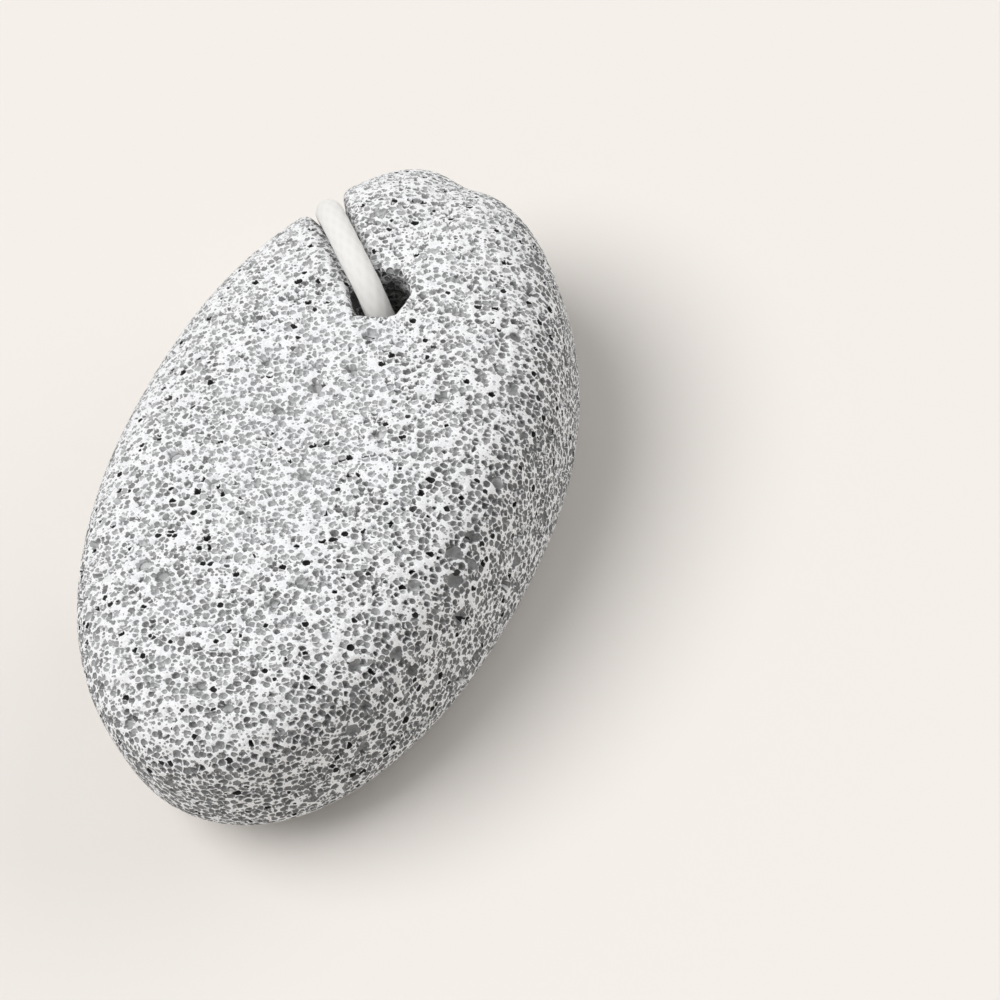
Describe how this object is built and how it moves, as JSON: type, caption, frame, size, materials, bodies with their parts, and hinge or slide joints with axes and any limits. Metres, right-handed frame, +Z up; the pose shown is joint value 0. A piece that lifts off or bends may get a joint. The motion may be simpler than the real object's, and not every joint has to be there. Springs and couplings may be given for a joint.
{
  "type": "pumice stone",
  "caption": "Oval foot pumice of foamed grey rock, lying flat, with a cord hole near one end, a groove over the rim and a knotted hanging loop.",
  "frame": {"origin": "on the surface the stone lies on, under the middle of the stone's own box", "axes": "+Y along the stone's length towards the hole end, +X across its width away from the side the loop lies on, +Z up through its thickness"},
  "size_m": [0.0647, 0.096, 0.0411],
  "materials": {
    "rock": "matt, foamed, open pores under a paler rubbed skin",
    "cotton": "soft matt cord"
  },
  "bodies": {
    "root": {"stone": "rock", "cord": "cotton", "cord_knot": "cotton"}
  },
  "joints": []
}
